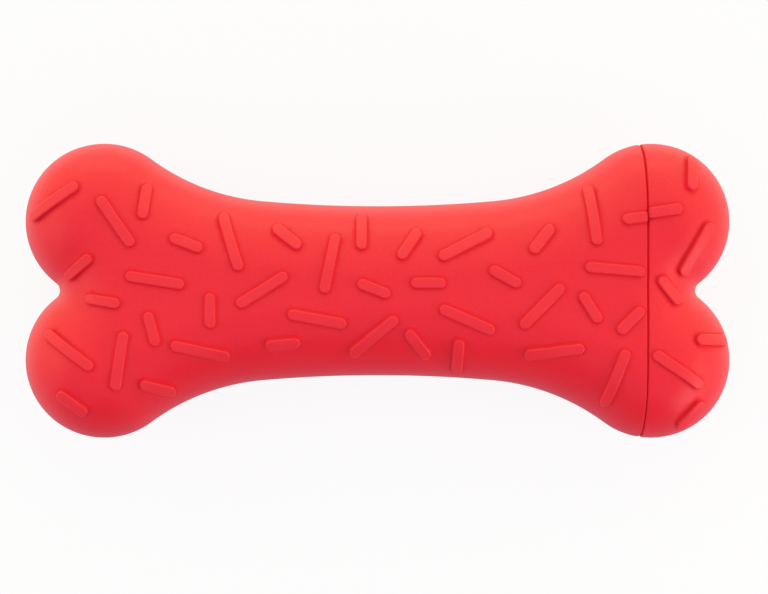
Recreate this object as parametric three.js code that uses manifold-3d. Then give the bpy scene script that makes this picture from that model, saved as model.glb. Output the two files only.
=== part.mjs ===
// Hollow rubber chew bone whose end twists off to open a treat chamber.
// Millimetres. X runs along the bone towards the twist-off end, Y across it and Z up.
import * as THREE from "three";
import { mergeVertices } from "three/addons/utils/BufferGeometryUtils.js";
import Module from "manifold-3d";

const wasm = await Module();
wasm.setup();

// Bone seen from above: tangent arcs, alike in all four quarters
const boneLength = 160;
const lobeRadius = 17.75;
const lobeSpacing = 31.4;
const notchRadius = 2;
const waistWidth = 38.4;
const waistLength = 52.5;
const waistRadius = 300;

// Bone in section: a full-round edge with a narrow land where the mould parts
const boneThickness = 33;
const partingLand = 0.5;
const edgeRound = Math.min(boneThickness / 2, lobeRadius - 1);

// Twist-off end
const capLength = 20.4;
const seamGap = 0.3;

// Raised sprinkle pads, whose walls stand square to the surface and run some way into it
const padWidth = 2.4;
const padHeight = 0.75;
const padRoot = 1;
const longSpine = 10.7;
const shortSpine = 5.3;

// Clearance between a moulding and the piece it grips, and between twisting parts
const clearance = 0.3;

// Helical lugs on the plug that run in tracks in the collar: one turn backs it out by the lead
const lugCount = 2;
const lugLead = 10;
const lugHeight = 1.1;
const lugRoot = 2;
const lugCrest = 1.1;
const lugFade = 20;

// Treat chamber, and the collar moulded into its mouth
const chamberRadius = 9;
const chamberDepth = 100;
const collarWall = 2.5;
const collarRadius = chamberRadius + lugHeight + collarWall;
const collarLength = 14;
const collarChamfer = 0.5;
const flangeDepth = 5;
const flangeThickness = 2.4;
const flangeWidth = 38;
const flangeCover = 2.6;
const flangeHeight = boneThickness - 2 * (flangeCover + clearance);

// Seal ring and its seat in the collar's mouth
const ringSection = 0.9;
const seatDepth = 2 * ringSection + clearance;
const seatRadius = chamberRadius + 2 * ringSection + clearance;

// Plug moulded into the end
const shankRadius = chamberRadius - clearance;
const shankLength = 9.6;
const shankWall = 2.5;
const shankFloor = 2;
const shankChamfer = 0.8;
const headThickness = 2.2;
const stemRadius = 6;
const anchorThickness = 2.4;
const anchorWidth = 30;
const anchorHeight = 13;
const anchorCover = 5.5;

// Facets, how far a cutting tool runs past the face that it opens, and slack where two arcs meet
const roundSegments = 40;
const edgeSegments = 7;
const plateSegments = 8;
const helixStep = 12;
const padTipTurns = [18, 54, 90];
const chamberEndTurns = [90, 72, 54, 36, 18, 0];
const overrun = 1;
const arcSlack = 1e-6;

const rubberRed = { color: 0xe2323a, roughness: 0.62, metalness: 0 };
const insertRed = { color: 0xb3242c, roughness: 0.4, metalness: 0 };
const ringIvory = { color: 0xe9e2d2, roughness: 0.5, metalness: 0 };

const boneWidth = lobeSpacing + 2 * lobeRadius;
const midHeight = boneThickness / 2 + padHeight;
const seamX = boneLength / 2 - capLength;
const bodyFace = seamX - seamGap / 2;
const capFace = seamX + seamGap / 2;
const degree = Math.PI / 180;

// Pads as shares of half the length and half the width, with the turn in degrees
const bodyLongPads = [
  [-0.893, 0.588, 34], [-0.72, 0.452, -55], [-0.611, 0.067, -9], [-0.71, -0.463, 80],
  [-0.848, -0.398, -37], [-0.489, -0.395, -11], [-0.405, 0.315, -71], [-0.317, 0.003, 32],
  [-0.131, 0.173, 78], [-0.166, -0.186, -10], [0.243, 0.297, 26], [-0.01, -0.297, 38],
  [0.247, -0.19, -23], [0.596, 0.492, -84], [0.653, 0.139, -5], [0.453, -0.104, 45],
  [0.489, -0.399, 6], [0.659, -0.573, 71], [0.756, 0.488, 7],
];
const bodyShortPads = [
  [-0.644, 0.582, 85], [-0.526, 0.31, -21], [-0.824, 0.157, 39], [-0.755, -0.07, -10],
  [-0.62, -0.253, -75], [-0.611, -0.639, -13], [-0.843, -0.74, -37], [-0.46, -0.133, 90],
  [-0.25, 0.348, -37], [-0.261, -0.348, 6], [-0.044, 0.379, 90], [0.088, 0.299, 54],
  [-0.01, 0.011, -21], [0.14, 0.049, 0], [0.112, -0.349, -50], [0.224, -0.43, 87],
  [0.454, 0.334, 50], [0.351, 0.09, -29], [0.586, -0.112, -58], [0.696, -0.198, 45],
];
const capLongPads = [[0.758, 0.511, 9], [0.88, 0.275, 60], [0.827, -0.52, -34]];
const capShortPads = [
  [0.872, 0.772, 83], [0.805, 0, -52], [0.926, -0.331, -3], [0.871, -0.823, 49],
];

// One quarter of the outline: notch, lobe, neck and waist, each an arc that meets the next.
// The neck's radius is the one that runs smoothly from the end of the waist into the lobe.
function quarterArcs() {
  const lobe = new THREE.Vector2(boneLength / 2 - lobeRadius, lobeSpacing / 2);
  const notchReach = lobeRadius + notchRadius;
  const notch = new THREE.Vector2(lobe.x + Math.sqrt(notchReach ** 2 - lobe.y ** 2), 0);
  const waist = new THREE.Vector2(0, waistWidth / 2 + waistRadius);
  const lean = Math.asin(waistLength / 2 / waistRadius);
  const outward = new THREE.Vector2(-Math.sin(lean), Math.cos(lean));
  const waistEnd = waist.clone().addScaledVector(outward, -waistRadius);
  const span = waistEnd.clone().sub(lobe);
  const neckRadius = (span.lengthSq() - lobeRadius ** 2) / (2 * (lobeRadius - outward.dot(span)));
  const neck = waistEnd.clone().addScaledVector(outward, neckRadius);
  const heading = (from, to) => Math.atan2(to.y - from.y, to.x - from.x);
  const arc = (centre, radius, start, end, hollow, steps) => ({ centre, radius, start, end, hollow, steps });
  return [
    arc(notch, notchRadius, Math.PI, heading(notch, lobe), true, 3),
    arc(lobe, lobeRadius, heading(lobe, notch), heading(lobe, neck), false, 14),
    arc(neck, neckRadius, heading(neck, lobe), lean - Math.PI / 2, true, 4),
    arc(waist, waistRadius, lean - Math.PI / 2, -Math.PI / 2, true, 4),
  ];
}

const outlineArcs = quarterArcs();
const notchX = outlineArcs[0].centre.x - notchRadius;

// Places along the plug: lugs, head and the anchor in the thick of the end
const lugStart = capFace - shankLength + lugRoot / 2 + clearance;
const lugEnd = bodyFace - seatDepth - lugRoot / 2;
const headEnd = capFace + headThickness;
const anchorEnd = notchX - anchorCover;
const anchorStart = anchorEnd - anchorThickness;

// Closed outline, anticlockwise from the middle of the notch on +X
function outlineShape() {
  const quarter = outlineArcs.flatMap((arc) => {
    const curve = new THREE.EllipseCurve(
      arc.centre.x, arc.centre.y, arc.radius, arc.radius, arc.start, arc.end, arc.hollow,
    );
    return curve.getPoints(arc.steps).slice(0, -1);
  });
  quarter.push(new THREE.Vector2(0, waistWidth / 2));
  const mirrored = (points, x, y) => points.map((point) => new THREE.Vector2(point.x * x, point.y * y));
  const upper = [...quarter, ...mirrored(quarter, -1, 1).reverse().slice(1)];
  const lower = mirrored(upper, 1, -1).reverse().slice(1, -1);
  return new THREE.Shape([...upper, ...lower]);
}

// How far a point of the plan lies inside the outline, and which way leads deeper
function edgeOf(x, y) {
  const point = new THREE.Vector2(Math.abs(x), Math.abs(y));
  let depth = Infinity;
  const inward = new THREE.Vector2();
  for (const arc of outlineArcs) {
    const arm = point.clone().sub(arc.centre);
    const turn = Math.atan2(arm.y, arm.x);
    const low = Math.min(arc.start, arc.end) - arcSlack;
    const high = Math.max(arc.start, arc.end) + arcSlack;
    const way = arc.hollow ? 1 : -1;
    const inside = way * (arm.length() - arc.radius);
    if (turn >= low && turn <= high && inside < depth) {
      depth = inside;
      inward.copy(arm).setLength(way);
    }
  }
  return { depth, inward: inward.multiply(new THREE.Vector2(Math.sign(x), Math.sign(y))) };
}

// Point of the rounded surface over a point of the plan, moved out square to the surface
function surfacePoint({ x, y }, lift) {
  const { depth, inward } = edgeOf(x, y);
  const share = 1 - THREE.MathUtils.clamp(depth / edgeRound, 0, 1);
  const rise = Math.sqrt(1 - share ** 2);
  const height = partingLand / 2 + (boneThickness / 2 - partingLand / 2) * rise;
  const outward = new THREE.Vector3(-inward.x * share, -inward.y * share, rise);
  return new THREE.Vector3(x, y, height).addScaledVector(outward, lift);
}

function signedVolume(spots, corners) {
  const a = new THREE.Vector3();
  const b = new THREE.Vector3();
  const c = new THREE.Vector3();
  let total = 0;
  for (let i = 0; i < corners.length; i += 3) {
    a.fromBufferAttribute(spots, corners[i]);
    b.fromBufferAttribute(spots, corners[i + 1]);
    c.fromBufferAttribute(spots, corners[i + 2]);
    total += a.dot(b.cross(c)) / 6;
  }
  return total;
}

// Closed geometry to a solid, with collapsed triangles dropped and the faces turned outwards
function solidOf(geometry) {
  const bare = geometry.clone();
  bare.deleteAttribute("normal");
  bare.deleteAttribute("uv");
  const merged = mergeVertices(bare, 1e-4);
  const spots = merged.attributes.position;
  const corners = [];
  for (let i = 0; i < merged.index.count; i += 3) {
    const [a, b, c] = [0, 1, 2].map((k) => merged.index.getX(i + k));
    if (a !== b && b !== c && c !== a) {
      corners.push(a, b, c);
    }
  }
  if (signedVolume(spots, corners) < 0) {
    corners.reverse();
  }
  return new wasm.Manifold(new wasm.Mesh({
    numProp: 3,
    vertProperties: new Float32Array(spots.array),
    triVerts: new Uint32Array(corners),
  }));
}

// Closed sections in a row, joined side to side, with a lid on each end
function loft(sections) {
  const count = sections[0].length;
  const spots = sections.flat().flatMap((point) => [point.x, point.y, point.z]);
  const corners = [];
  for (let row = 0; row + 1 < sections.length; row += 1) {
    for (let k = 0; k < count; k += 1) {
      const here = row * count + k;
      const beside = row * count + ((k + 1) % count);
      corners.push(here, beside, here + count, beside, beside + count, here + count);
    }
  }
  const last = (sections.length - 1) * count;
  for (let k = 1; k + 1 < count; k += 1) {
    corners.push(0, k + 1, k, last, last + k, last + k + 1);
  }
  const geometry = new THREE.BufferGeometry();
  geometry.setAttribute("position", new THREE.Float32BufferAttribute(spots, 3));
  geometry.setIndex(corners);
  return geometry;
}

// Turned solid about the bone's long axis, from a closed profile of [x, radius]
function turned(profile) {
  const points = [...profile, profile[0]].map(([x, radius]) => new THREE.Vector2(radius, x));
  return solidOf(new THREE.LatheGeometry(points, roundSegments).rotateZ(-Math.PI / 2));
}

// Plate with half-round ends, wider across the bone than it is high, grown all over for a pocket
function oblongPlate(startX, thickness, width, height, grow) {
  const round = height / 2 + grow;
  const straight = (width - height) / 2;
  const shape = new THREE.Shape();
  shape.absarc(0, straight, round, 0, Math.PI, false);
  shape.absarc(0, -straight, round, Math.PI, 2 * Math.PI, false);
  const plate = new THREE.ExtrudeGeometry(shape, {
    depth: thickness + 2 * grow,
    bevelEnabled: false,
    curveSegments: plateSegments,
  });
  return solidOf(plate.rotateY(Math.PI / 2).translate(startX - grow, 0, 0));
}

// Flange that keys the collar into the body, and anchor that keys the plug into the end
function collarFlange(grow) {
  const startX = bodyFace - flangeDepth - flangeThickness;
  return oblongPlate(startX, flangeThickness, flangeWidth, flangeHeight, grow);
}

function plugAnchor(grow) {
  return oblongPlate(anchorStart, anchorThickness, anchorWidth, anchorHeight, grow);
}

// Half-space block on one side of the seam
function seamBlock(startX, way) {
  const size = 2 * boneLength;
  return solidOf(new THREE.BoxGeometry(size, size, size).translate(startX + (way * size) / 2, 0, 0));
}

// Spine distance and half width at each station of a round-ended pad
function padStations(spine, middles) {
  const round = padWidth / 2;
  const tip = padTipTurns.map((turn) => [
    spine / 2 + round * Math.cos(turn * degree), round * Math.sin(turn * degree),
  ]);
  const inner = Array.from({ length: middles }, (_, k) => [
    spine * (0.5 - (k + 1) / (middles + 1)), round,
  ]);
  const far = tip.map(([place, half]) => [-place, half]).reverse();
  return [...tip, ...inner, ...far];
}

// One pad: a round-ended outline of the plan laid on the bone and raised square to it
function padSolid([along, across, turn], spine, middles) {
  const centre = new THREE.Vector2((along * boneLength) / 2, (across * boneWidth) / 2);
  const run = new THREE.Vector2(Math.cos(turn * degree), Math.sin(turn * degree));
  const side = new THREE.Vector2(-run.y, run.x);
  const sections = padStations(spine, middles).map(([place, half]) => {
    const middle = centre.clone().addScaledVector(run, place);
    const left = middle.clone().addScaledVector(side, half);
    const right = middle.clone().addScaledVector(side, -half);
    return [
      surfacePoint(left, -padRoot), surfacePoint(right, -padRoot),
      surfacePoint(right, padHeight), surfacePoint(left, padHeight),
    ];
  });
  return solidOf(loft(sections));
}

// Bone with its pads; the lower face is the upper one turned over about the long axis
function paddedBone(longPads, shortPads) {
  const dome = boneThickness / 2 - partingLand / 2;
  const plain = new THREE.ExtrudeGeometry(outlineShape(), {
    depth: partingLand,
    bevelEnabled: true,
    bevelThickness: dome,
    bevelSize: edgeRound,
    bevelOffset: -edgeRound,
    bevelSegments: edgeSegments,
  }).translate(0, 0, -partingLand / 2);
  const upper = [
    ...longPads.map((pad) => padSolid(pad, longSpine, 2)),
    ...shortPads.map((pad) => padSolid(pad, shortSpine, 1)),
  ];
  const lower = upper.map((pad) => pad.rotate([180, 0, 0]));
  return wasm.Manifold.union([solidOf(plain), ...upper, ...lower]);
}

// Rubber body: open at the seam, with the chamber and a pocket for the collar
function boneBody() {
  const mouth = bodyFace + overrun;
  const pocketEnd = bodyFace - collarLength - clearance;
  const pocketRadius = collarRadius + clearance;
  const endCentre = bodyFace - chamberDepth + chamberRadius;
  const roundEnd = chamberEndTurns.map((turn) => [
    endCentre - chamberRadius * Math.cos(turn * degree), chamberRadius * Math.sin(turn * degree),
  ]);
  const hollow = turned([
    [mouth, 0], [mouth, pocketRadius], [pocketEnd, pocketRadius], [pocketEnd, chamberRadius], ...roundEnd,
  ]);
  return paddedBone(bodyLongPads, bodyShortPads)
    .subtract(seamBlock(bodyFace, 1))
    .subtract(hollow)
    .subtract(collarFlange(clearance));
}

// Rubber end: solid but for the pockets that grip the plug's head, stem and anchor
function endCap() {
  const mouth = capFace - overrun;
  const pocketEnd = headEnd + clearance;
  const pocketRadius = collarRadius + clearance;
  const stemPocket = stemRadius + clearance;
  const hollow = turned([
    [mouth, 0], [mouth, pocketRadius], [pocketEnd, pocketRadius], [pocketEnd, stemPocket],
    [anchorEnd, stemPocket], [anchorEnd, 0],
  ]);
  return paddedBone(capLongPads, capShortPads)
    .subtract(seamBlock(capFace, -1))
    .subtract(hollow)
    .subtract(plugAnchor(clearance));
}

// One helical bar of trapezoid section, whose ends fade into the core where asked
function helixBar(coreRadius, root, crest, startX, endX, phase, fade) {
  const sweep = ((endX - startX) / lugLead) * 360;
  const steps = Math.ceil(sweep / helixStep);
  const sections = Array.from({ length: steps + 1 }, (_, k) => {
    const turn = (sweep * k) / steps;
    const fromEnd = Math.min(turn, sweep - turn);
    const rise = fade ? Math.min(1, (fromEnd + fade / 10) / fade) : 1;
    const angle = (phase + turn) * degree;
    const spot = (offset, radius) => new THREE.Vector3(
      startX + (lugLead * turn) / 360 + offset, radius * Math.cos(angle), radius * Math.sin(angle),
    );
    const inner = coreRadius - lugHeight / 2;
    const outer = coreRadius + lugHeight * rise;
    return [
      spot(-root / 2, inner), spot(root / 2, inner), spot(crest / 2, outer), spot(-crest / 2, outer),
    ];
  });
  return solidOf(loft(sections));
}

// All bars of one helix, evenly spaced; the phase keeps lugs and tracks on the same helix
function helixBars(coreRadius, grow, startX, endX, fade) {
  const phase = ((startX - bodyFace) / lugLead) * 360;
  return Array.from({ length: lugCount }, (_, k) => helixBar(
    coreRadius, lugRoot + 2 * grow, lugCrest + 2 * grow, startX, endX, phase + (360 * k) / lugCount, fade,
  ));
}

// Collar in the body's mouth: barrel, flange, ring seat and the tracks for the lugs
function mouthCollar() {
  const back = bodyFace - collarLength;
  const mouth = bodyFace + overrun;
  const seatFloor = bodyFace - seatDepth;
  const barrel = turned([
    [bodyFace, 0], [bodyFace, collarRadius - collarChamfer], [bodyFace - collarChamfer, collarRadius],
    [back + collarChamfer, collarRadius], [back, collarRadius - collarChamfer], [back, 0],
  ]);
  const bore = turned([
    [mouth, 0], [mouth, seatRadius], [seatFloor, seatRadius], [seatFloor, chamberRadius],
    [back - overrun, chamberRadius], [back - overrun, 0],
  ]);
  const tracks = helixBars(chamberRadius, clearance, lugStart - clearance, bodyFace, 0);
  return wasm.Manifold.union([barrel, collarFlange(0)]).subtract(wasm.Manifold.union([bore, ...tracks]));
}

// Plug: hollow shank with its lugs, flat head, stem and the anchor that the rubber end grips
function twistPlug() {
  const tip = capFace - shankLength;
  const floor = capFace - shankFloor;
  const hollowRadius = shankRadius - shankWall;
  const core = turned([
    [floor, 0], [floor, hollowRadius], [tip, hollowRadius], [tip, shankRadius - shankChamfer],
    [tip + shankChamfer, shankRadius], [capFace, shankRadius], [capFace, collarRadius],
    [headEnd, collarRadius], [headEnd, stemRadius], [anchorEnd, stemRadius], [anchorEnd, 0],
  ]);
  const lugs = helixBars(shankRadius, 0, lugStart, lugEnd, lugFade);
  return wasm.Manifold.union([core, plugAnchor(0), ...lugs]);
}

// Seal ring round the root of the shank, under the plug's head
function sealRing() {
  const centreRadius = shankRadius + clearance + ringSection;
  const ring = new THREE.TorusGeometry(centreRadius, ringSection, 10, roundSegments);
  return solidOf(ring.rotateY(Math.PI / 2).translate(capFace - clearance - ringSection, 0, 0));
}

// Named mesh of a finished solid, lifted so that the lowest pads stand on Z = 0
function named(name, solid, finish) {
  const mesh = solid.getMesh();
  const geometry = new THREE.BufferGeometry();
  geometry.setAttribute("position", new THREE.Float32BufferAttribute(mesh.vertProperties, 3));
  geometry.setIndex(Array.from(mesh.triVerts));
  geometry.translate(0, 0, midHeight);
  geometry.computeVertexNormals();
  const piece = new THREE.Mesh(geometry, new THREE.MeshStandardMaterial(finish));
  piece.name = name;
  return piece;
}

const bone = new THREE.Group();
bone.name = "treat_bone";
bone.add(
  named("bone_body", boneBody(), rubberRed),
  named("mouth_collar", mouthCollar(), insertRed),
  named("end_cap", endCap(), rubberRed),
  named("twist_plug", twistPlug(), insertRed),
  named("seal_ring", sealRing(), ringIvory),
);

export default bone;
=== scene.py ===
import math

import bpy
import numpy as np
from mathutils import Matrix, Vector
from mathutils.geometry import delaunay_2d_cdt


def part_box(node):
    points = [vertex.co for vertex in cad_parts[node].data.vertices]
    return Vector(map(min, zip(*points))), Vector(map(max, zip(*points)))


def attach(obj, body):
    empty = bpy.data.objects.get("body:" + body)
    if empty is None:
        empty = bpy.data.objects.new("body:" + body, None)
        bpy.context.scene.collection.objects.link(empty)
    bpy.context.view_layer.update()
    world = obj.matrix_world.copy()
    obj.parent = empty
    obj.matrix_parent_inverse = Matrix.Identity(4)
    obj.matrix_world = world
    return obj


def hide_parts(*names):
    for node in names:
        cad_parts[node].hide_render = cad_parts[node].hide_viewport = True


# Red rubber treat bone whose right-hand end twists off. Sizes below are in millimetres.
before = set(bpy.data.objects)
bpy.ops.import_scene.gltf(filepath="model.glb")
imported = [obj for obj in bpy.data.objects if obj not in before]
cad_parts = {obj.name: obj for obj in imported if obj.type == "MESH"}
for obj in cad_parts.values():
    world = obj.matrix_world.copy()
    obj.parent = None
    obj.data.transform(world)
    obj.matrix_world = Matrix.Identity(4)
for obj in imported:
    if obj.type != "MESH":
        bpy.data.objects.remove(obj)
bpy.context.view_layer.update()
mm = 0.001
tiny = 1e-9           # keeps divisors above zero
turnSlack = 1e-6      # radians past an arc's end that still belong to it
mergeGap = 1e-7       # plan points nearer than this become one
print("frame loaded:", sorted(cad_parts))

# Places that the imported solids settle
bodyLow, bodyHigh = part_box("bone_body")
capLow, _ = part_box("end_cap")
bodyFace = bodyHigh.x / mm
capFace = capLow.x / mm
midHeight = (bodyLow.z + bodyHigh.z) / 2 / mm


# outline and skin
bone = {
    "length": 160.0,
    "lobeRadius": 17.75,
    "lobeSpacing": 31.4,
    "notchRadius": 2.0,
    "waistWidth": 38.4,
    "waistLength": 52.5,
    "waistRadius": 300.0,
    "thickness": 33.0,
    "partingLand": 0.5,
    "edgeRound": 16.5,
    "partingRidge": 0.07,
    "arcSteps": (8, 72, 36, 34),       # notch, lobe, neck and waist of one quarter
    "ringTurns": np.arange(0, 49, 4),  # degrees up from the parting line
    "gridStep": 0.95,
    "gridClear": 0.6,                  # steps left free beside the innermost ring
}


def makeArcs():
    lobeRadius = bone["lobeRadius"]
    lobe = np.array([bone["length"] / 2 - lobeRadius, bone["lobeSpacing"] / 2])
    reach = lobeRadius + bone["notchRadius"]
    notch = np.array([lobe[0] + math.sqrt(reach ** 2 - lobe[1] ** 2), 0.0])
    waist = np.array([0.0, bone["waistWidth"] / 2 + bone["waistRadius"]])
    lean = math.asin(bone["waistLength"] / 2 / bone["waistRadius"])
    outward = np.array([-math.sin(lean), math.cos(lean)])
    waistEnd = waist - outward * bone["waistRadius"]
    span = waistEnd - lobe
    neckRadius = (span @ span - lobeRadius ** 2) / (2 * (lobeRadius - outward @ span))
    neck = waistEnd + outward * neckRadius

    def heading(fromPoint, toPoint):
        return math.atan2(toPoint[1] - fromPoint[1], toPoint[0] - fromPoint[0])

    half = math.pi / 2
    rows = [
        (notch, bone["notchRadius"], math.pi, heading(notch, lobe), True),
        (lobe, lobeRadius, heading(lobe, notch), heading(lobe, neck), False),
        (neck, neckRadius, heading(neck, lobe), lean - half, True),
        (waist, bone["waistRadius"], lean - half, -half, True),
    ]
    keys = ("centre", "radius", "start", "end", "hollow")
    return [dict(zip(keys, row)) for row in rows]


arcs = makeArcs()
lobeCentre = arcs[1]["centre"]


# how deep plan points lie inside the outline, and which way is deeper
def edgeDepth(points):
    folded = np.abs(points)
    depth = np.full(len(points), np.inf)
    inward = np.zeros((len(points), 2))
    for arc in arcs:
        arm = folded - arc["centre"]
        reach = np.maximum(np.linalg.norm(arm, axis=1), tiny)
        turn = np.arctan2(arm[:, 1], arm[:, 0])
        low, high = sorted((arc["start"], arc["end"]))
        sign = 1 if arc["hollow"] else -1
        away = sign * (reach - arc["radius"])
        nearer = (turn > low - turnSlack) & (turn < high + turnSlack) & (away < depth)
        depth[nearer] = away[nearer]
        inward[nearer] = (sign * arm / reach[:, None])[nearer]
    return depth, inward * np.where(points < 0, -1, 1)


# height over the parting plane and outward normal of the skin, lifted square to itself
def skinAt(points, lift):
    depth, inward = edgeDepth(points)
    inset = np.clip(depth, 0, bone["edgeRound"])
    share = 1 - (inset + lift) / (bone["edgeRound"] + lift)
    rise = np.sqrt(1 - share ** 2)
    dome = bone["thickness"] / 2 - bone["partingLand"] / 2
    height = bone["partingLand"] / 2 + (dome + lift) * rise
    normal = np.column_stack([-inward * (share * dome / bone["edgeRound"])[:, None], rise])
    return height, normal / np.linalg.norm(normal, axis=1)[:, None], inward, share


# whole outline, anticlockwise from the notch on +X, with the way in at each point
def makeOutline():
    quarter, ways = [], []
    for arc, steps in zip(arcs, bone["arcSteps"]):
        for turn in np.linspace(arc["start"], arc["end"], steps + 1)[:-1]:
            ray = np.array([math.cos(turn), math.sin(turn)])
            quarter.append(arc["centre"] + arc["radius"] * ray)
            ways.append(ray if arc["hollow"] else -ray)
    quarter.append(np.array([0.0, bone["waistWidth"] / 2]))
    ways.append(np.array([0.0, -1.0]))

    def wrapped(rows):
        rows = np.array(rows)
        upper = np.vstack([rows, (rows * (-1, 1))[-2::-1]])
        return np.vstack([upper, (upper * (1, -1))[-2:0:-1]])

    return wrapped(quarter), wrapped(ways)


outline, outlineIn = makeOutline()
ringDepths = bone["edgeRound"] * (1 - np.cos(np.radians(bone["ringTurns"])))


# raised sprinkle pads
pads = {
    "width": 2.4,
    "height": 0.75,
    "longSpine": 10.7,
    "shortSpine": 5.3,
    "wallLean": 1.0,                                          # 0 upright walls, 1 square to the skin
    "steepness": (0.2, 0.75, 0.95),                           # share of the way to the outline
    "steepGain": (0.0, 0.4, 0.0),                             # pads stand this much prouder there
    "inset": (-0.24, -0.11, -0.03, 0.02, 0.1, 0.22, 0.4),     # in from the foot of the wall
    "lift": (0.0, 0.035, 0.16, 0.62, 0.85, 0.965, 1.0),       # share of the height there
    "turn": (0, 28, 70, 78, 52, 22, 0),                       # lean of the surface there
    "creaseShadeInset": (-0.8, -0.3, 0.02, 0.1),                   # painted shade: deeper red round the foot
    "uphillShadowInset": (-0.3, -0.08, 0.05, 0.12),                 # painted shadow, deeper still on sides towards the middle
    "uphillShade": 1.5,
    "paleInset": (0.0, 0.1),                                  # the pads' red turns paler between these
    "edgeInset": 0.02,                                        # their painted rim highlights begin here
    "topLoop": 0.75,                                          # one more loop of points on the top
    "footClear": 0.25,                                        # skin points keep this far from a foot
    "loopClear": 0.1,                                         # and points by the seam this far
    "tipSteps": 9,
    "runStep": 0.62,
}
# places as shares of half the length and half the width, with the turn in degrees
bodyLongPads = [
    (-0.893, 0.588, 34), (-0.72, 0.452, -55), (-0.611, 0.067, -9), (-0.71, -0.463, 80),
    (-0.848, -0.398, -37), (-0.489, -0.395, -11), (-0.405, 0.315, -71), (-0.317, 0.003, 32),
    (-0.131, 0.173, 78), (-0.166, -0.186, -10), (0.243, 0.297, 26), (-0.01, -0.297, 38),
    (0.247, -0.19, -23), (0.596, 0.492, -84), (0.653, 0.139, -5), (0.453, -0.104, 45),
    (0.489, -0.399, 6), (0.659, -0.573, 71), (0.756, 0.488, 7),
]
bodyShortPads = [
    (-0.644, 0.582, 85), (-0.526, 0.31, -21), (-0.824, 0.157, 39), (-0.755, -0.07, -10),
    (-0.62, -0.253, -75), (-0.611, -0.639, -13), (-0.843, -0.74, -37), (-0.46, -0.133, 90),
    (-0.25, 0.348, -37), (-0.261, -0.348, 6), (-0.044, 0.379, 90), (0.088, 0.299, 54),
    (-0.01, 0.011, -21), (0.14, 0.049, 0), (0.112, -0.349, -50), (0.224, -0.43, 87),
    (0.454, 0.334, 50), (0.351, 0.09, -29), (0.586, -0.112, -58), (0.696, -0.198, 45),
]
capLongPads = [(0.758, 0.511, 9), (0.88, 0.275, 60), (0.827, -0.52, -34)]
capShortPads = [(0.872, 0.772, 83), (0.805, 0, -52), (0.926, -0.331, -3), (0.871, -0.823, 49)]


# both spine ends of every pad
def padSpines(longPads, shortPads):
    boneWidth = bone["lobeSpacing"] + 2 * bone["lobeRadius"]
    spines = []
    for rows, spine in ((longPads, pads["longSpine"]), (shortPads, pads["shortSpine"])):
        for along, across, turn in rows:
            centre = np.array([along * bone["length"], across * boneWidth]) / 2
            run = np.array([math.cos(math.radians(turn)), math.sin(math.radians(turn))])
            spines.append((centre - run * spine / 2, centre + run * spine / 2))
    return spines


# how far plan points lie inside the nearest pad's foot, and the way out of it
def padInset(points, spines):
    best = np.full(len(points), -np.inf)
    away = np.zeros((len(points), 2))
    for first, last in spines:
        run = last - first
        share = np.clip(((points - first) @ run) / (run @ run), 0, 1)
        arm = points - (first + share[:, None] * run)
        reach = np.linalg.norm(arm, axis=1)
        inset = pads["width"] / 2 - reach
        nearer = inset > best
        best[nearer] = inset[nearer]
        away[nearer] = (arm / np.maximum(reach, tiny)[:, None])[nearer]
    return best, away


# closed loop of plan points at one inset round a pad
def padLoop(first, last, inset):
    run = last - first
    length = np.linalg.norm(run)
    along = run / length
    across = np.array([-along[1], along[0]])
    radius = pads["width"] / 2 - inset
    tips = np.radians(np.linspace(-90, 90, pads["tipSteps"] + 1))
    count = round(length / pads["runStep"])
    steps = np.arange(1, count) / count
    farTip = [last + radius * (along * math.cos(t) + across * math.sin(t)) for t in tips]
    nearTip = [first - radius * (along * math.cos(t) + across * math.sin(t)) for t in tips]
    back = [last - run * s + across * radius for s in steps]
    forth = [first + run * s - across * radius for s in steps]
    return farTip + back + nearTip + forth


# rims where the two rubber skins meet
seam = {
    "closeUp": 0.125,                                # the soft faces lie this much nearer than the solids'
    "rim": 0.42,                                     # width of the rolled rim on both sides
    "rimDepth": 0.5,                                 # how far it drops at the cut face
    "columns": (0.0, 0.03, 0.08, 0.16, 0.27, 0.42),  # in from the cut face
    "columnStep": 0.8,
    "columnClear": 0.3,                              # other skin points keep this far from the columns
    "innerStep": 0.9,                                # from the innermost ring to a column's next point
    "onFace": 0.001,                                 # points this near to the cut face lie on it
}


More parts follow.
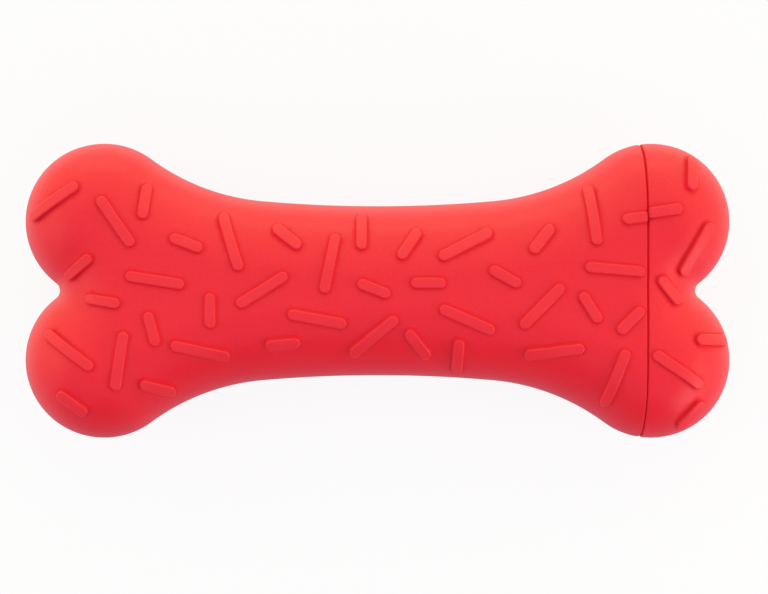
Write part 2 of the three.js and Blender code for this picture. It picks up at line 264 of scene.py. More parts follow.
# plan points, constraint edges and outline order for one side of the seam
def planOfSide(face, way, spines):
    def beyond(points, gap):
        return way * (face - points[:, 0]) > gap

    def lobeY(x, depth):
        return lobeCentre[1] + np.sqrt((bone["lobeRadius"] - depth) ** 2 - (x - lobeCentre[0]) ** 2)

    rimGap = seam["columns"][-1] + seam["columnClear"]
    kept = np.flatnonzero(beyond(outline, rimGap))
    breaks = np.flatnonzero(np.diff(kept) > 1)           # the seam breaks the closed outline once
    if len(breaks):
        kept = np.roll(kept, -(breaks[0] + 1))
    columnX = [face - way * s for s in seam["columns"]]
    tops = np.array([[x, way * lobeY(x, 0)] for x in columnX])
    border = np.vstack([tops, outline[kept], tops[::-1] * (1, -1)])

    rings = [outline + outlineIn * depth for depth in ringDepths[1:]]
    low, high = outline.min(axis=0), outline.max(axis=0)
    step = bone["gridStep"]
    gridX, gridY = np.meshgrid(np.arange(low[0], high[0], step), np.arange(low[1], high[1], step))
    grid = np.column_stack([gridX.ravel(), gridY.ravel()])
    grid = grid[edgeDepth(grid)[0] > ringDepths[-1] + bone["gridClear"] * step]
    inner = np.vstack([*rings, grid])
    inner = inner[beyond(inner, rimGap)]
    inner = inner[padInset(inner, spines)[0] < pads["inset"][0] - pads["footClear"]]

    seamDepth = np.append(ringDepths[1:], ringDepths[-1] + seam["innerStep"])
    columns = []
    for x in columnX:
        rims = lobeY(x, seamDepth)
        count = round(2 * rims[-1] / seam["columnStep"])
        middle = np.linspace(-rims[-1], rims[-1], count + 1)[1:-1]
        ys = np.concatenate([rims, -rims, middle])
        columns.append(np.column_stack([np.full(len(ys), x), ys]))
    columns = np.vstack(columns)
    inset = padInset(columns, spines)[0]
    clear = pads["loopClear"]
    columns = columns[(inset < pads["inset"][0] - clear) | (inset > pads["inset"][-1] + clear)]

    points = [border, inner, columns]
    total = sum(len(block) for block in points)
    onFace = np.flatnonzero(np.abs(columns[:, 0] - face) < seam["onFace"])
    rim = len(border) + len(inner) + onFace[np.argsort(-way * columns[onFace, 1])]
    closing = np.concatenate([[len(border) - 1], rim[::-1], [0]])
    edges = [(k, k + 1) for k in range(len(border) - 1)] + list(zip(closing[:-1], closing[1:]))
    for first, last in spines:
        for level in (*pads["inset"], pads["topLoop"]):
            loop = np.array(padLoop(first, last, level))
            edges += [(total + k, total + (k + 1) % len(loop)) for k in range(len(loop))]
            points.append(loop)
            total += len(loop)
        spine = np.linspace(first, last, round(np.linalg.norm(last - first) / pads["runStep"]) + 1)
        points.append(spine)
        total += len(spine)
    return np.vstack(points), edges, len(border)


# places, normals and masks of plan points on the upper skin
def shapeSkin(points, spines, face, way):
    inset, away = padInset(points, spines)
    inward, share = skinAt(points, 0)[2:]
    gain = 1 + np.interp(share, pads["steepness"], pads["steepGain"])
    lift = pads["height"] * gain * np.interp(inset, pads["inset"], pads["lift"])
    turn = np.radians(np.interp(inset, pads["inset"], pads["turn"]))
    # sides facing the middle near the ends take a painted shadow, this strong
    uphill = away[:, 0] * inward[:, 0] * share * pads["uphillShade"]
    moved = points - inward * (pads["wallLean"] * lift * share)[:, None]
    height, normal, inward, share = skinAt(moved, lift)
    side = np.column_stack([away, np.zeros(len(points))])
    tilted = side - normal * np.sum(side * normal, axis=1)[:, None] * pads["wallLean"]
    tilted /= np.maximum(np.linalg.norm(tilted, axis=1), tiny)[:, None]
    normal = normal * np.cos(turn)[:, None] + tilted * np.sin(turn)[:, None]
    normal /= np.linalg.norm(normal, axis=1)[:, None]
    places = np.column_stack([moved, height])

    # the rim at the seam rolls over to the cut face
    gap = way * (face - points[:, 0])
    roll = np.clip(1 - gap / seam["rim"], 0, 1)
    slope = 2 * seam["rimDepth"] / seam["rim"] * roll
    flat = normal * (0, 1, 1)
    flat /= np.maximum(np.linalg.norm(flat, axis=1), tiny)[:, None]
    places -= flat * (seam["rimDepth"] * roll ** 2)[:, None]
    rolled = roll > 0
    leaning = flat + np.outer(way * slope, (1, 0, 0))
    normal[rolled] = (leaning / np.linalg.norm(leaning, axis=1)[:, None])[rolled]
    onFace = np.abs(points[:, 0] - face) < seam["onFace"]
    places[onFace, 0] = face
    band = (0, 1, 1, 0)
    masks = {
        "padMask": np.interp(inset, pads["paleInset"], (0, 1)),
        # painted highlight on the pads' rolled rims
        "rimHighlightMask": np.sin(2 * turn) * (inset > pads["edgeInset"]),
        # painted shade round the pads' feet and over the seam's rolled rim; it also dulls the gloss there
        "creaseShadeMask": np.maximum(np.interp(inset, pads["creaseShadeInset"], band), np.sqrt(roll)),
        # painted shadow on the uphill sides of pads near the ends
        "uphillShadowMask": np.interp(inset, pads["uphillShadowInset"], band) * np.clip(uphill, 0, 1),
    }
    return places, normal, masks


# triangulated upper skin of one side
def upperSkin(face, way, spines):
    points, edges, borderCount = planOfSide(face, way, spines)
    spots = [Vector(point) for point in points]
    verts, _, faces, origins, _, _ = delaunay_2d_cdt(spots, edges, [], 1, mergeGap, True)
    flat = np.array([tuple(v) for v in verts])
    tris = np.array([corners for corners in faces if len(corners) == 3])
    centre = flat[tris].mean(axis=1)
    tris = tris[(way * (face - centre[:, 0]) > 0) & (edgeDepth(centre)[0] > 0)]
    spanA, spanB = flat[tris[:, 1]] - flat[tris[:, 0]], flat[tris[:, 2]] - flat[tris[:, 0]]
    area = spanA[:, 0] * spanB[:, 1] - spanA[:, 1] * spanB[:, 0]
    tris[area < 0] = tris[area < 0][:, ::-1]
    used = np.unique(tris)
    renumber = np.full(len(flat), -1)
    renumber[used] = np.arange(len(used))
    place = {}
    for index, sources in enumerate(origins):
        for source in sources:
            place[source] = index
    border = renumber[[place[k] for k in range(borderCount)]]
    flat, tris = flat[used], renumber[tris]
    onFace = np.flatnonzero(np.abs(flat[:, 0] - face) < seam["onFace"])
    rim = onFace[np.argsort(-flat[onFace, 1])]
    return flat, tris, border, rim


# closed rubber piece: skin, its copy turned over, the parting line, and the hollow's rings
def rubberPiece(name, face, way, spines, hollowRings):
    flat, tris, border, rim = upperSkin(face, way, spines)
    upper, normal, masks = shapeSkin(flat, spines, face, way)
    count = len(upper)
    turnOver = np.array([1, -1, -1])
    ridge = upper[border] * (1, 1, 0)
    clear = way * (face - upper[border, 0]) > seam["rim"]      # the ridge stops short of the seam
    ridge[clear, :2] += normal[border[clear], :2] * bone["partingRidge"]
    middle = 2 * count + np.arange(len(border))
    places = [upper, upper * turnOver, ridge]
    normals = [normal, normal * turnOver, normal[border] * (1, 1, 0)]
    faces = [tuple(t) for t in tris] + [tuple(t + count) for t in tris]
    below = count + border[::-1]
    for k in range(len(border) - 1):
        faces.append((middle[k], middle[k + 1], border[k + 1], border[k]))
        faces.append((below[k], below[k + 1], middle[k + 1], middle[k]))
    ends = (middle[0], middle[-1]) if way > 0 else (middle[-1], middle[0])
    loop = np.concatenate([[ends[0]], rim, [ends[1]], rim + count])

    # the hollow: each ring has one point for each point of the rim
    skinFaces = len(faces)
    skinPlaces = np.vstack(places)
    around = np.arctan2(skinPlaces[loop, 2], skinPlaces[loop, 1])
    total = len(skinPlaces)
    outer = loop
    for x, radius in hollowRings(around):
        if radius is None:                       # a pole closes the hollow
            places.append(np.array([[x, 0.0, 0.0]]))
            nextRing = np.full(len(loop), total)
            total += 1
        else:
            ys, zs = radius * np.cos(around), radius * np.sin(around)
            places.append(np.column_stack([np.full(len(loop), x), ys, zs]))
            nextRing = total + np.arange(len(loop))
            total += len(loop)
        for k in range(len(loop)):
            n = (k + 1) % len(loop)
            corners = [outer[k], outer[n], nextRing[n], nextRing[k]]
            corners = list(dict.fromkeys(corners))
            faces.append(tuple(corners if way > 0 else corners[::-1]))
        outer = nextRing
    for key, values in masks.items():
        masks[key] = np.concatenate([values, values, np.zeros(len(border))])
    # painted shade along the parting line at the outline
    masks["partingShadeMask"] = np.concatenate([np.zeros(2 * count + 1), np.ones(len(border) - 2), [0]])
    return addMesh(name, np.vstack(places), faces, masks, np.vstack(normals), skinFaces)


sharpTurn = 20      # degrees between faces whose edge shades as a corner


# mesh object from places in millimetres over the parting plane; the skin's faces come first
def addMesh(name, places, faces, masks=None, skinNormals=None, skinFaces=0):
    mesh = bpy.data.meshes.new(name)
    world = (places + (0, 0, midHeight)) * mm
    mesh.from_pydata(world.tolist(), [], [tuple(int(i) for i in face) for face in faces])
    mesh.validate()
    mesh.set_sharp_from_angle(angle=math.radians(sharpTurn))
    for maskName, values in (masks or {}).items():
        attribute = mesh.attributes.new(maskName, "FLOAT", "POINT")
        filled = np.zeros(len(places), np.float32)
        filled[:len(values)] = values
        attribute.data.foreach_set("value", filled)
    if skinFaces:
        corners = np.zeros(len(mesh.loops), np.int32)
        mesh.loops.foreach_get("vertex_index", corners)
        skinCorners = sum(len(face) for face in faces[:skinFaces])
        normals = np.zeros((len(corners), 3))                     # all others keep their own shading
        normals[:skinCorners] = skinNormals[corners[:skinCorners]]
        mesh.normals_split_custom_set(normals.tolist())
    piece = bpy.data.objects.new(name, mesh)
    bpy.context.scene.collection.objects.link(piece)
    print("made", name, len(mesh.vertices), "points", len(mesh.polygons), "faces")
    return piece


# twist closure inside the rubber
closure = {
    "clearance": 0.3,
    "lugCount": 2,
    "lugLead": 10.0,
    "lugHeight": 1.1,
    "lugRoot": 2.0,
    "lugCrest": 1.1,
    "lugFade": 20.0,
    "chamberRadius": 9.0,
    "chamberDepth": 100.0,
    "collarWall": 2.5,
    "collarLength": 14.0,
    "flangeDepth": 5.0,
    "flangeThickness": 2.4,
    "flangeWidth": 38.0,
    "flangeHeight": 27.2,
    "ringSection": 0.9,
    "shankLength": 9.6,
    "shankWall": 2.5,
    "shankFloor": 2.0,
    "headThickness": 2.2,
    "stemRadius": 6.0,
    "anchorThickness": 2.4,
    "anchorWidth": 30.0,
    "anchorHeight": 13.0,
    "anchorCover": 5.5,
    "breakEdge": 0.3,                      # broken edges of the mouldings
    "bulge": 0.3,                          # where their middle lies, as a share of the broken edge
    "turns": 144,
    "helixStep": 0.12,                     # between rings of points along lugs and tracks
    "trackFade": 4.0,                      # degrees, as lugFade
    "trackStop": 0.02,                     # the tracks' rings end this far short of the seat
    "plainShank": (0.7, 0.2),              # free of rings at the tip and under the head
    "chamberTurns": np.arange(0, 90, 10),  # degrees round the chamber's end
    "sealTurns": np.arange(0, 360, 15),    # degrees round the seal's section
}
collarRadius = closure["chamberRadius"] + closure["lugHeight"] + closure["collarWall"]
shankRadius = closure["chamberRadius"] - closure["clearance"]
headEnd = capFace + closure["headThickness"]
anchorEnd = arcs[0]["centre"][0] - bone["notchRadius"] - closure["anchorCover"]
anchorStart = anchorEnd - closure["anchorThickness"]


# radius of an oblong with half-round ends, seen from its middle
def oblongRadius(around, width, height, grow):
    tipRadius = height / 2 + grow
    straight = (width - height) / 2
    flat = tipRadius / np.maximum(np.abs(np.sin(around)), tiny)
    reach = straight * np.abs(np.cos(around))
    tip = reach + np.sqrt(np.maximum(reach ** 2 - straight ** 2 + tipRadius ** 2, 0))
    return np.where(flat * np.abs(np.cos(around)) <= straight, flat, tip)


def circle(around, radius):
    return np.full(len(around), float(radius))


# chamber, collar pocket and flange slot in the body
def bodyHollow(around):
    c = closure
    gap, edge = c["clearance"], c["breakEdge"]
    bulge = c["bulge"] * edge
    pocket = collarRadius + gap
    slotFront = bodyFace - c["flangeDepth"] + gap
    slotBack = bodyFace - c["flangeDepth"] - c["flangeThickness"] - gap
    pocketEnd = bodyFace - c["collarLength"] - gap
    slot = oblongRadius(around, c["flangeWidth"], c["flangeHeight"], gap)
    endCentre = bodyFace - c["chamberDepth"] + c["chamberRadius"]
    rings = [
        (bodyFace, circle(around, pocket + edge)),
        (bodyFace - bulge, circle(around, pocket + bulge)),
        (bodyFace - edge, circle(around, pocket)),
        (slotFront, circle(around, pocket)), (slotFront, slot),
        (slotBack, slot), (slotBack, circle(around, pocket)),
        (pocketEnd, circle(around, pocket)),
        (pocketEnd, circle(around, c["chamberRadius"] + edge)),
        (pocketEnd - edge, circle(around, c["chamberRadius"])),
    ]
    for turn in np.radians(c["chamberTurns"]):
        rings.append((endCentre - c["chamberRadius"] * math.sin(turn),
                      circle(around, c["chamberRadius"] * math.cos(turn))))
    return rings + [(endCentre - c["chamberRadius"], None)]


# pockets for the plug's head, stem and anchor in the end
def capHollow(around):
    c = closure
    gap, edge = c["clearance"], c["breakEdge"]
    bulge = c["bulge"] * edge
    pocket = collarRadius + gap
    stem = c["stemRadius"] + gap
    slot = oblongRadius(around, c["anchorWidth"], c["anchorHeight"], gap)
    return [
        (capFace, circle(around, pocket + edge)),
        (capFace + bulge, circle(around, pocket + bulge)),
        (capFace + edge, circle(around, pocket)),
        (headEnd + gap, circle(around, pocket)), (headEnd + gap, circle(around, stem)),
        (anchorStart - gap, circle(around, stem)), (anchorStart - gap, slot),
        (anchorEnd + gap, slot), (anchorEnd + gap, None),
    ]


bodySpines = padSpines(bodyLongPads, bodyShortPads)
capSpines = padSpines(capLongPads, capShortPads)
body = rubberPiece("rubber_body", bodyFace + seam["closeUp"], 1, bodySpines, bodyHollow)
end = rubberPiece("rubber_end", capFace - seam["closeUp"], -1, capSpines, capHollow)


# ring after ring of a turned piece; poles close it, or the last ring meets the first
def turnedPiece(name, rings, around):
    places, faces, rows, total = [], [], [], 0
    for x, radius in rings:
        if radius is None:
            places.append(np.array([[x, 0.0, 0.0]]))
            rows.append(np.full(len(around), total))
            total += 1
        else:
            x = np.broadcast_to(x, len(around))
            places.append(np.column_stack([x, radius * np.cos(around), radius * np.sin(around)]))
            rows.append(total + np.arange(len(around)))
            total += len(around)
    if rings[0][1] is not None:
        rows.append(rows[0])
    for first, second in zip(rows[:-1], rows[1:]):
        for k in range(len(around)):
            n = (k + 1) % len(around)
            faces.append(tuple(dict.fromkeys([first[k], first[n], second[n], second[k]])))
    return addMesh(name, np.vstack(places), faces)


around = np.linspace(0, 2 * math.pi, closure["turns"], endpoint=False)


# share of the full lug or track at a place: trapezoid section on a helix with faded ends
def helixRise(x, around, startX, endX, grow, fade):
    c = closure
    sweep = (endX - startX) / c["lugLead"] * 360
    root, crest = c["lugRoot"] / 2 + grow, c["lugCrest"] / 2 + grow
    best = np.zeros(len(around))
    for k in range(c["lugCount"]):
        phase = (startX - bodyFace) / c["lugLead"] * 360 + 360 * k / c["lugCount"]
        turn = (np.degrees(around) - phase) % 360
        for lap in (turn - 360, turn):
            offset = np.abs(x - (startX + c["lugLead"] * lap / 360))
            section = np.clip((root - offset) / (root - crest), 0, 1)
            fromEnd = np.minimum(lap, sweep - lap)
            best = np.maximum(best, section * np.clip(fromEnd / fade, 0, 1))
    return best * best * (3 - 2 * best)


lugStart = capFace - closure["shankLength"] + closure["lugRoot"] / 2 + closure["clearance"]
seatDepth = 2 * closure["ringSection"] + closure["clearance"]
lugEnd = bodyFace - seatDepth - closure["lugRoot"] / 2


# collar in the body's mouth: barrel, flange, ring seat and helical tracks
def makeCollar():
    c = closure
    edge = c["breakEdge"]
    bulge = c["bulge"] * edge
    back = bodyFace - c["collarLength"]
    seatFloor = bodyFace - seatDepth
    seatRadius = c["chamberRadius"] + 2 * c["ringSection"] + c["clearance"]
    front = bodyFace - c["flangeDepth"]
    rear = front - c["flangeThickness"]
    flange = oblongRadius(around, c["flangeWidth"], c["flangeHeight"], 0)
    barrel = circle(around, collarRadius)
    rings = [
        (bodyFace, circle(around, seatRadius + edge)), (bodyFace, barrel - edge),
        (bodyFace - bulge, barrel - bulge), (bodyFace - edge, barrel),
        (front, barrel), (front, flange - edge), (front - bulge, flange - bulge),
        (front - edge, flange), (rear + edge, flange), (rear + bulge, flange - bulge),
        (rear, flange - edge), (rear, barrel), (back + edge, barrel),
        (back + bulge, barrel - bulge), (back, barrel - edge),
        (back, circle(around, c["chamberRadius"] + edge)),
        (back + edge, circle(around, c["chamberRadius"])),
    ]
    trackStart = lugStart - c["clearance"]

    def track(x):
        rise = helixRise(x, around, trackStart, bodyFace, c["clearance"], c["trackFade"])
        return x, c["chamberRadius"] + c["lugHeight"] * rise

    trackRun = np.arange(trackStart - c["lugRoot"], seatFloor - c["trackStop"], c["helixStep"])
    rings += [track(x) for x in trackRun]
    rings += [
        track(seatFloor),
        (seatFloor, circle(around, seatRadius)),
        (bodyFace - edge, circle(around, seatRadius)),
    ]
    return turnedPiece("collar_insert", rings[::-1], around)


# plug in the end: hollow shank with lugs, head, stem and anchor
def makePlug():
    c = closure
    edge = c["breakEdge"]
    bulge = c["bulge"] * edge
    tip = capFace - c["shankLength"]
    floor = capFace - c["shankFloor"]
    hollow = circle(around, shankRadius - c["shankWall"])
    shank = circle(around, shankRadius)
    head = circle(around, collarRadius)
    stem = circle(around, c["stemRadius"])
    anchor = oblongRadius(around, c["anchorWidth"], c["anchorHeight"], 0)
    rings = [
        (floor, None), (floor, hollow - 2 * edge), (floor - 2 * bulge, hollow - 2 * bulge),
        (floor - 2 * edge, hollow), (tip + edge, hollow), (tip, hollow + edge),
        (tip, shank - 2 * edge), (tip + 2 * bulge, shank - 2 * bulge), (tip + 2 * edge, shank),
    ]
    atTip, atHead = c["plainShank"]
    for x in np.arange(tip + atTip, capFace - atHead, c["helixStep"]):
        rise = helixRise(x, around, lugStart, lugEnd, 0, c["lugFade"])
        rings.append((x, shankRadius + c["lugHeight"] * rise))
    rings += [
        (capFace, shank), (capFace, head - edge), (capFace + bulge, head - bulge),
        (capFace + edge, head), (headEnd - edge, head), (headEnd - bulge, head - bulge),
        (headEnd, head - edge), (headEnd, stem), (anchorStart, stem), (anchorStart, anchor - edge),
        (anchorStart + edge, anchor), (anchorEnd - edge, anchor), (anchorEnd, anchor - edge),
        (anchorEnd, None),
    ]
    return turnedPiece("plug_insert", rings, around)


# round seal under the plug's head
def makeSeal():
    c = closure
    section = c["ringSection"]
    centreRadius = shankRadius + c["clearance"] + section
    centreX = capFace - c["clearance"] - section
    rings = []
    for turn in np.radians(c["sealTurns"]):
        radius = centreRadius + section * math.cos(turn)
        rings.append((centreX + section * math.sin(turn), circle(around, radius)))
    return turnedPiece("seal", rings, around)


collar = makeCollar()
plug = makePlug()
seal = makeSeal()


def newMaterial(name):
    material = bpy.data.materials.new(name)
    material.use_nodes = True
    nodes, links = material.node_tree.nodes, material.node_tree.links
    return material, nodes, links, nodes["Principled BSDF"]


# a plain value is set on its socket, anything else is linked to it
def fillSockets(links, pairs):
    for socket, value in pairs:
        if isinstance(value, (tuple, float)):
            socket.default_value = value
        else:
            links.new(value, socket)


def mixNode(nodes, links, factor, first, second):
    mix = nodes.new("ShaderNodeMix")
    mix.data_type = "RGBA"
    fillSockets(links, ((mix.inputs["Factor"], factor), (mix.inputs[6], first), (mix.inputs[7], second)))
    return mix.outputs[2]


def mathNode(nodes, links, operation, *values):
    node = nodes.new("ShaderNodeMath")
    node.operation = operation
    fillSockets(links, zip(node.inputs, values))
    return node.outputs[0]


mould = {
    "grainSize": 2600.0,
    "grainDetail": 3.0,
    "mottleSize": 90.0,
    "mottleDetail": 4.0,
    "specks": (0.48, 0.72),      # range of the grain that shows as specks
    "bumpDepth": 0.1 * mm,
}


# fine moulded grain over object space: a bump height, a slow mottle and pale specks
def makeGrainGroup():
    group = bpy.data.node_groups.new("mouldedGrain", "ShaderNodeTree")
    face = group.interface
    for socketName, value in (("Grain Size", mould["grainSize"]), ("Mottle Size", mould["mottleSize"])):
        face.new_socket(socketName, in_out="INPUT", socket_type="NodeSocketFloat").default_value = value
    for socketName in ("Height", "Mottle", "Specks"):
        face.new_socket(socketName, in_out="OUTPUT", socket_type="NodeSocketFloat")
    nodes, links = group.nodes, group.links
    into, out = nodes.new("NodeGroupInput"), nodes.new("NodeGroupOutput")
    coords = nodes.new("ShaderNodeTexCoord")

    def noise(sizeName, detail, outName):
        node = nodes.new("ShaderNodeTexNoise")
        node.inputs["Detail"].default_value = detail
        links.new(coords.outputs["Object"], node.inputs["Vector"])
        links.new(into.outputs[sizeName], node.inputs["Scale"])
        links.new(node.outputs["Fac"], out.inputs[outName])
        return node.outputs["Fac"]

    noise("Mottle Size", mould["mottleDetail"], "Mottle")
    fine = noise("Grain Size", mould["grainDetail"], "Height")
    specks = nodes.new("ShaderNodeMapRange")
    specks.inputs["From Min"].default_value, specks.inputs["From Max"].default_value = mould["specks"]
    links.new(fine, specks.inputs["Value"])
    links.new(specks.outputs["Result"], out.inputs["Specks"])
    return group


grainGroup = makeGrainGroup()


def grainNode(nodes, grainSize):
    grain = nodes.new("ShaderNodeGroup")
    grain.node_tree = grainGroup
    grain.inputs["Grain Size"].default_value = grainSize
    return grain.outputs


# a value between two limits that follows the mottle
def spreadNode(nodes, links, mottle, limits):
    spread = nodes.new("ShaderNodeMapRange")
    spread.inputs["To Min"].default_value, spread.inputs["To Max"].default_value = limits
    links.new(mottle, spread.inputs["Value"])
    return spread.outputs["Result"]


def addBump(nodes, links, height, strength, shader):
    bump = nodes.new("ShaderNodeBump")
    bump.inputs["Strength"].default_value = strength
    bump.inputs["Distance"].default_value = mould["bumpDepth"]
    links.new(height, bump.inputs["Height"])
    links.new(bump.outputs["Normal"], shader.inputs["Normal"])


rubber = {
    "red": (0.79, 0.004, 0.018, 1),
    "deepRed": (0.77, 0.003, 0.016, 1),
    "padRed": (0.79, 0.011, 0.024, 1),
    # painted highlight on the pads' rims
    "rimHighlightRed": (0.82, 0.05, 0.055, 1),
    "speckRed": (0.83, 0.06, 0.065, 1),
    # painted shade for the creases round the pads' feet and at the seam
    "creaseShadeRed": (0.75, 0.002, 0.015, 1),
    # painted shadow on the uphill sides of pads
    "uphillShadowRed": (0.6, 0.0005, 0.008, 1),
    # painted shade along the parting line
    "partingShadeRed": (0.62, 0.003, 0.012, 1),
    "rimHighlightShare": 0.1,
    "speckShare": 0.16,
    "roughness": (0.33, 0.43),
    "dullRoughness": 0.76,           # in the creases
    "uphillDull": 0.6,               # duller still on the uphill sides
    "bump": 0.06,
    "specular": 0.45,
}


def rubberMaterial(name):
    material, nodes, links, shader = newMaterial(name)
    grain = grainNode(nodes, mould["grainSize"])

    def mask(attributeName):
        attribute = nodes.new("ShaderNodeAttribute")
        attribute.attribute_name = attributeName
        return attribute.outputs["Fac"]

    crease, uphill = mask("creaseShadeMask"), mask("uphillShadowMask")
    specks = mathNode(nodes, links, "MULTIPLY", grain["Specks"], rubber["speckShare"])
    # painted highlight on the pads' rolled rims
    rims = mathNode(nodes, links, "MULTIPLY", mask("rimHighlightMask"), rubber["rimHighlightShare"])
    base = mixNode(nodes, links, grain["Mottle"], rubber["deepRed"], rubber["red"])
    # the base red takes painted shade in the creases, on uphill sides and along the parting line, and
    # painted highlights on the pads' rims
    for factor, colourName in (
        (mask("padMask"), "padRed"),
        (specks, "speckRed"),
        (crease, "creaseShadeRed"),
        (uphill, "uphillShadowRed"),
        (mask("partingShadeMask"), "partingShadeRed"),
        (rims, "rimHighlightRed"),
    ):
        base = mixNode(nodes, links, factor, base, rubber[colourName])
    links.new(base, shader.inputs["Base Color"])
    rough = nodes.new("ShaderNodeMix")
    rough.clamp_factor = False
    dull = mathNode(nodes, links, "MULTIPLY_ADD", uphill, rubber["uphillDull"], crease)
    satin = spreadNode(nodes, links, grain["Mottle"], rubber["roughness"])
    links.new(dull, rough.inputs[0])
    links.new(satin, rough.inputs[2])
    rough.inputs[3].default_value = rubber["dullRoughness"]
    links.new(rough.outputs[0], shader.inputs["Roughness"])
    addBump(nodes, links, grain["Height"], rubber["bump"], shader)
    shader.inputs["Specular IOR Level"].default_value = rubber["specular"]
    return material


insert = {
    "low": (0.42, 0.018, 0.025, 1),
    "high": (0.5, 0.03, 0.036, 1),
    "roughness": (0.3, 0.42),
    "grainSize": 1500.0,
    "bump": 0.03,
}
sealLook = {
    "low": (0.72, 0.66, 0.54, 1),
    "high": (0.80, 0.75, 0.63, 1),
    "roughness": (0.42, 0.55),
    "grainSize": 2600.0,
    "bump": 0.0,
}


# two tones of one colour that follow the mottle
def mottledMaterial(name, look):
    material, nodes, links, shader = newMaterial(name)
    grain = grainNode(nodes, look["grainSize"])
    links.new(mixNode(nodes, links, grain["Mottle"], look["low"], look["high"]), shader.inputs["Base Color"])
    links.new(spreadNode(nodes, links, grain["Mottle"], look["roughness"]), shader.inputs["Roughness"])
    if look["bump"]:
        addBump(nodes, links, grain["Height"], look["bump"], shader)
    return material


rubberLook = rubberMaterial("redRubber")
insertLook = mottledMaterial("redInsert", insert)
for piece, look, bodyName, node, slotName in (
    (body, rubberLook, "bone", "bone_body", "body_rubber"),
    (end, rubberLook, "cap", "end_cap", "cap_rubber"),
    (collar, insertLook, "bone", "mouth_collar", "collar_plastic"),
    (plug, insertLook, "cap", "twist_plug", "plug_plastic"),
    (seal, mottledMaterial("ivorySeal", sealLook), "seal", "seal_ring", "ring_rubber"),
):
    piece.data.materials.append(look)
    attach(piece, bodyName)
    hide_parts(node)
print("pieces ride on their bodies")


# floor, light and camera
studio = {
    "floorSize": 6.0,                   # metres
    "floorColour": (0.82, 0.82, 0.82, 1),
    "floorRoughness": 0.9,
    "floorSpecular": 0.1,
    "floorWhite": 0.88,                 # share of plain white that the camera sees
    "backdrop": (0.97, 0.97, 0.97, 1),
    "sky": 0.86,                        # light from straight above
    "skyLean": 0.66,                    # gained towards +Y and lost towards -Y
    "skySides": 0.29,                   # gained towards both ends of the bone
    "under": (-1.0, -0.75),             # straight below, where gloss sees the floor in the object's shade
    "underShade": 0.5,
    "warmSky": (1.0, 0.95, 0.7, 1),     # on the +Y side
    "coolSky": (0.86, 0.89, 1.32, 1),   # on the -Y side
    "coolest": -1.0,                    # share of +Y at which the sky is all cool
    "warmSides": 0.7,                   # how far the warmth reaches round to both ends
    "lamps": (
        # place in metres, width and height in metres, power in watts, colour, shows in gloss
        ((0.0, 0.9, 0.09), (1.0, 0.15), 0.62, (1.0, 0.92, 0.68), True),
        ((-0.39, -0.03, 0.19), (0.16, 0.12), 0.24, (1.0, 0.94, 0.72), False),
        ((0.38, -0.1, 0.17), (0.16, 0.12), 0.31, (1.0, 0.93, 0.62), False),
        ((0.36, -0.3, 0.16), (0.3, 0.2), 0.38, (1.0, 0.93, 0.8), True),
        ((0.0, -0.66, 0.74), (1.0, 0.4), 1.1, (0.97, 0.98, 1.3), False),
    ),
    "cameraHeight": 459.5,              # over the parting plane
    "cameraFoot": (1.467, -1.432),
    "lens": 94.42,
    "clipStart": 0.01,                  # metres
}


def makeFloor(scene):
    half = studio["floorSize"] / 2
    corners = [(-half, -half, 0), (half, -half, 0), (half, half, 0), (-half, half, 0)]
    mesh = bpy.data.meshes.new("floor")
    mesh.from_pydata(corners, [], [(0, 1, 2, 3)])
    floor = bpy.data.objects.new("floor", mesh)
    scene.collection.objects.link(floor)
    floor.visible_glossy = False      # the limbs mirror the sky, not the floor
    material, nodes, links, shader = newMaterial("paleFloor")
    shader.inputs["Base Color"].default_value = studio["floorColour"]
    shader.inputs["Roughness"].default_value = studio["floorRoughness"]
    shader.inputs["Specular IOR Level"].default_value = studio["floorSpecular"]
    white = nodes.new("ShaderNodeEmission")
    path = nodes.new("ShaderNodeLightPath")
    share = mathNode(nodes, links, "MULTIPLY", path.outputs["Is Camera Ray"], studio["floorWhite"])
    mix = nodes.new("ShaderNodeMixShader")
    fillSockets(links, zip(mix.inputs, (share, shader.outputs["BSDF"], white.outputs["Emission"])))
    links.new(mix.outputs["Shader"], nodes["Material Output"].inputs["Surface"])
    mesh.materials.append(material)


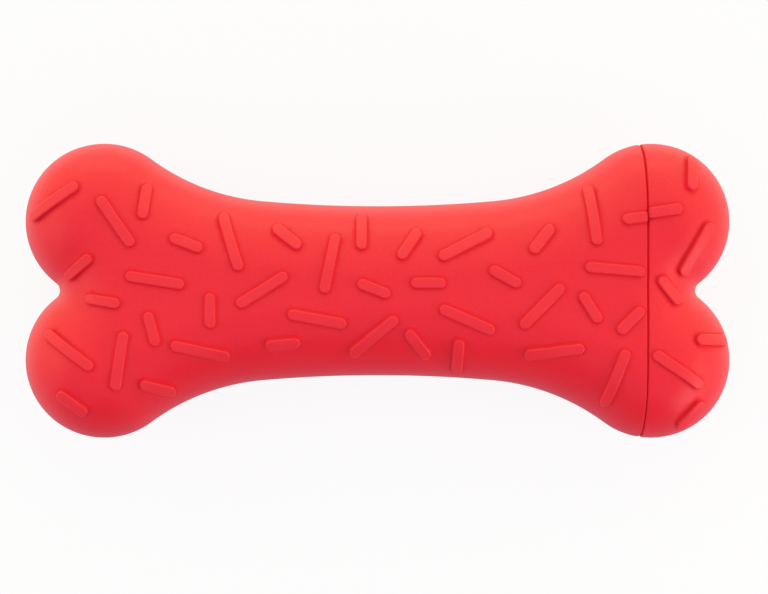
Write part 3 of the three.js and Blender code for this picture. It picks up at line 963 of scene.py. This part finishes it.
# soft sky that leans towards +Y, with a plain backdrop for the camera
def makeSky(scene):
    world = bpy.data.worlds.new("studio")
    scene.world = world
    world.use_nodes = True
    nodes, links = world.node_tree.nodes, world.node_tree.links
    ambient = nodes["Background"]
    coords = nodes.new("ShaderNodeTexCoord")
    split = nodes.new("ShaderNodeSeparateXYZ")
    links.new(coords.outputs["Generated"], split.inputs["Vector"])
    x, y, z = (split.outputs[axis] for axis in "XYZ")
    sides = mathNode(nodes, links, "MULTIPLY", x, x)
    level = mathNode(nodes, links, "MULTIPLY_ADD", y, studio["skyLean"], studio["sky"])
    level = mathNode(nodes, links, "MULTIPLY_ADD", sides, studio["skySides"], level)
    under = nodes.new("ShaderNodeMapRange")
    under.inputs["From Min"].default_value, under.inputs["From Max"].default_value = studio["under"]
    under.inputs["To Min"].default_value = studio["underShade"]
    links.new(z, under.inputs["Value"])
    shaded = mathNode(nodes, links, "MULTIPLY", level, under.outputs["Result"])
    links.new(shaded, ambient.inputs["Strength"])
    warmth = nodes.new("ShaderNodeMapRange")
    warmth.inputs["From Min"].default_value = studio["coolest"]
    links.new(mathNode(nodes, links, "MULTIPLY_ADD", sides, studio["warmSides"], y), warmth.inputs["Value"])
    tint = mixNode(nodes, links, warmth.outputs["Result"], studio["coolSky"], studio["warmSky"])
    links.new(tint, ambient.inputs["Color"])
    backdrop = nodes.new("ShaderNodeBackground")
    backdrop.inputs["Color"].default_value = studio["backdrop"]
    path = nodes.new("ShaderNodeLightPath")
    mix = nodes.new("ShaderNodeMixShader")
    views = (path.outputs["Is Camera Ray"], ambient.outputs["Background"], backdrop.outputs["Background"])
    fillSockets(links, zip(mix.inputs, views))
    links.new(mix.outputs["Shader"], nodes["World Output"].inputs["Surface"])


def makeLamps(scene):
    target = Vector((0, 0, midHeight * mm))
    for index, (place, size, power, colour, inGloss) in enumerate(studio["lamps"]):
        lamp = bpy.data.lights.new(f"softbox{index}", "AREA")
        lamp.shape = "RECTANGLE"
        lamp.size, lamp.size_y = size
        lamp.energy = power
        lamp.color = colour
        holder = bpy.data.objects.new(f"softbox{index}", lamp)
        holder.location = place
        holder.visible_glossy = inGloss
        holder.rotation_euler = (target - Vector(place)).to_track_quat("-Z", "Y").to_euler()
        scene.collection.objects.link(holder)


# looks straight down on the broad face
def makeCamera(scene):
    lens = bpy.data.cameras.new("camera")
    lens.lens = studio["lens"]
    lens.sensor_fit = "HORIZONTAL"
    lens.clip_start = studio["clipStart"]
    camera = bpy.data.objects.new("camera", lens)
    footX, footY = studio["cameraFoot"]
    camera.location = (footX * mm, footY * mm, (midHeight + studio["cameraHeight"]) * mm)
    scene.collection.objects.link(camera)
    scene.camera = camera


scene = bpy.context.scene
scene.view_settings.view_transform = "Standard"
makeFloor(scene)
makeSky(scene)
makeLamps(scene)
makeCamera(scene)
print("stage set")
